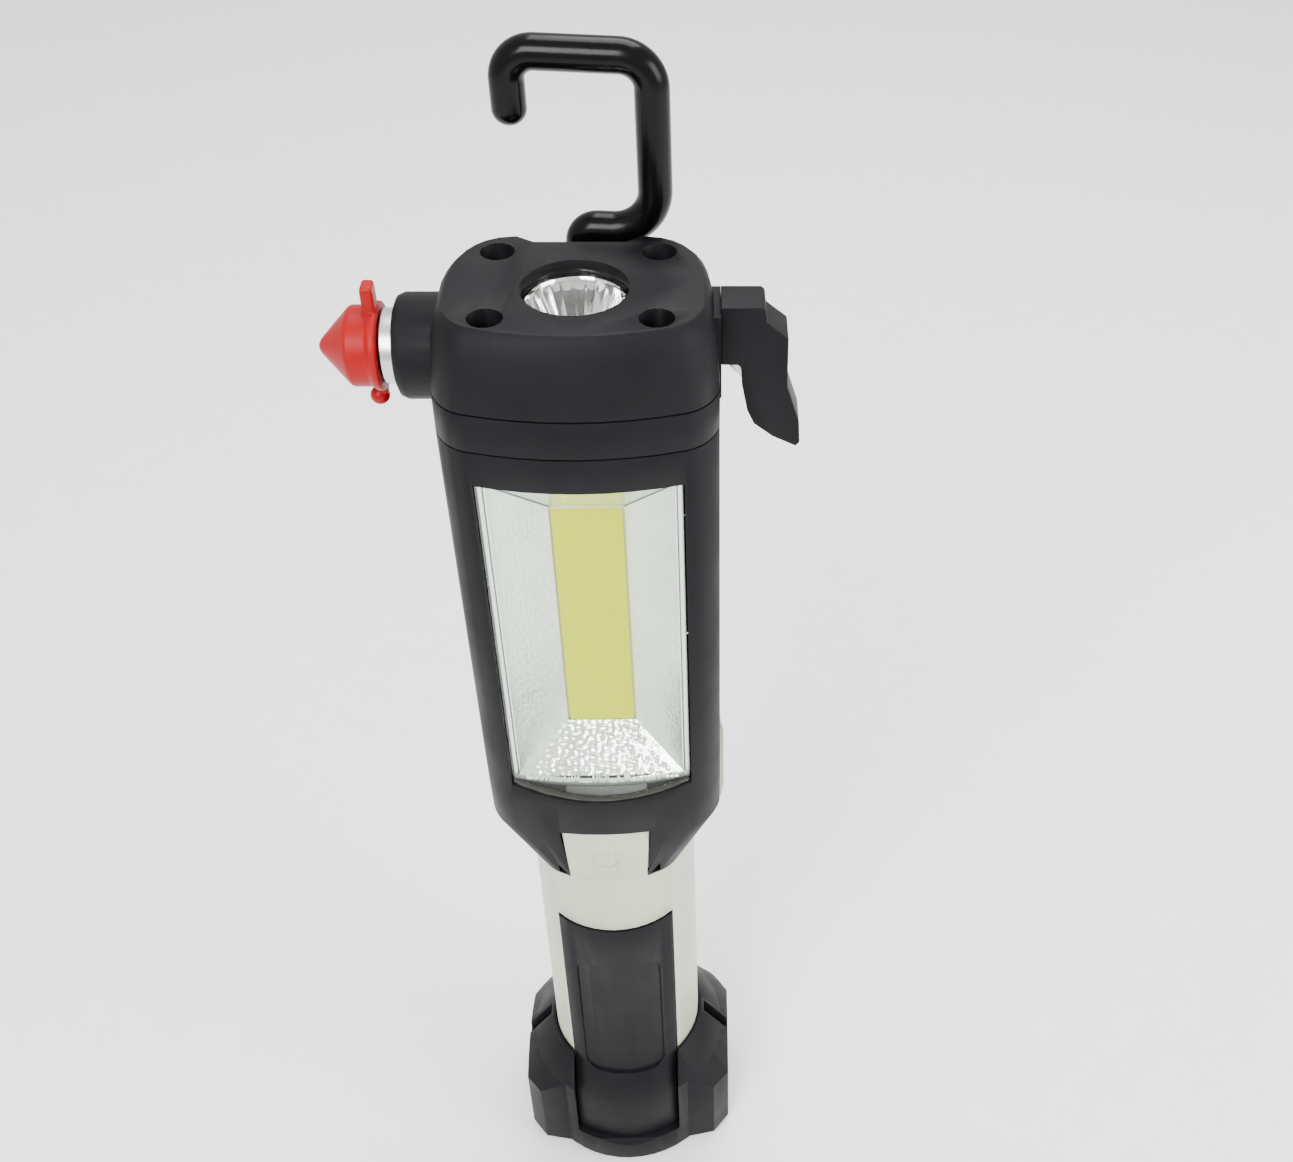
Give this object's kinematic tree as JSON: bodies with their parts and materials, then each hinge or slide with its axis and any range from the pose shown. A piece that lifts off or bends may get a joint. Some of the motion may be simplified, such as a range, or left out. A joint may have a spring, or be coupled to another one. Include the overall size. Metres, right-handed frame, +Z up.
{
  "type": "work light",
  "caption": "Hand-held work light: window lamp, top torch, folding swivel hook, glass-breaker point under a red cap, belt cutter, magnetic base with a draw-out battery carrier.",
  "frame": {"origin": "centre of the flat bottom face of the base, on the magnet", "axes": "+Z up along the handle to the head, -Y the lamp's front, +X the belt cutter's side"},
  "size_m": [0.0843, 0.0504, 0.281],
  "materials": {
    "soft_black": "matt soft-touch black",
    "gloss_black": "glossy black rod",
    "cream": "satin cream moulding",
    "red": "soft red plastic",
    "clear": "clear moulded cover",
    "silvered": "vacuum-silvered reflector",
    "phosphor": "yellow phosphor coat",
    "board": "circuit board with solder mask",
    "steel": "bright steel",
    "dark_metal": "black oxide",
    "aluminium": "plain sheet",
    "brass": "bright",
    "cell_wrap": "printed film without lettering"
  },
  "bodies": {
    "light": {"back_shell": "soft_black", "bracket_screw_1": "dark_metal", "bracket_screw_2": "dark_metal", "cap_screw_1": "dark_metal", "cap_screw_2": "dark_metal", "cap_screw_3": "dark_metal", "cap_screw_4": "dark_metal", "cob_board": "board", "cob_phosphor": "phosphor", "cob_reflector": "silvered", "contact_board": "board", "contact_stud": "brass", "cutter_blade": "steel", "cutter_guard": "soft_black", "cutter_pin": "dark_metal", "driver_board": "board", "front_shell": "soft_black", "grip_back": "soft_black", "grip_front": "soft_black", "hammer_nut": "steel", "hammer_tip": "steel", "handle_tube": "cream", "head_cap": "soft_black", "head_deck": "soft_black", "heat_spreader": "aluminium", "hook_bracket": "soft_black", "rear_saddle": "cream", "shell_screw_1": "dark_metal", "shell_screw_2": "dark_metal", "shell_screw_3": "dark_metal", "shell_screw_4": "dark_metal", "switch_board": "board", "tact_switch": "dark_metal", "torch_board": "board", "torch_led": "phosphor", "torch_lens": "clear", "torch_reflector": "silvered", "window_lens": "clear"},
    "power_button": {"power_button": "cream", "switch_stem": "dark_metal"},
    "hook_carrier": {"hook_block": "soft_black", "hook_pin": "steel"},
    "hook": {"hook": "gloss_black", "hook_washer": "steel"},
    "hammer_cap": {"hammer_cap": "red"},
    "base": {"base_cup": "soft_black", "base_magnet": "steel", "base_plug": "soft_black", "base_screw_1": "dark_metal", "base_screw_2": "dark_metal", "base_seal": "soft_black", "battery_carrier": "soft_black", "cell_1": "cell_wrap", "cell_2": "cell_wrap", "cell_3": "cell_wrap", "cell_spring_1": "steel", "cell_spring_2": "steel", "cell_spring_3": "steel"}
  },
  "joints": [
    {"name": "hook_fold", "type": "hinge", "parent": "light", "child": "hook_carrier", "pos_m": [0, 0.0215, 0.224], "axis": [-1, 0, 0], "range_deg": [0, 172]},
    {"name": "hook_swivel", "type": "hinge", "parent": "hook_carrier", "child": "hook", "pos_m": [0, 0.0215, 0.24], "axis": [0, 0, 1], "range_deg": [0, 180]},
    {"name": "button_press", "type": "slide", "parent": "light", "child": "power_button", "axis": [0, 1, 0], "range_m": [0, 0.0008], "stiffness_N_per_m": 900},
    {"name": "hammer_cap_pull", "type": "slide", "parent": "light", "child": "hammer_cap", "axis": [-1, 0, 0], "range_m": [0, 0.018]},
    {"name": "base_pull", "type": "slide", "parent": "light", "child": "base", "axis": [0, 0, -1], "range_m": [0, 0.09]}
  ]
}
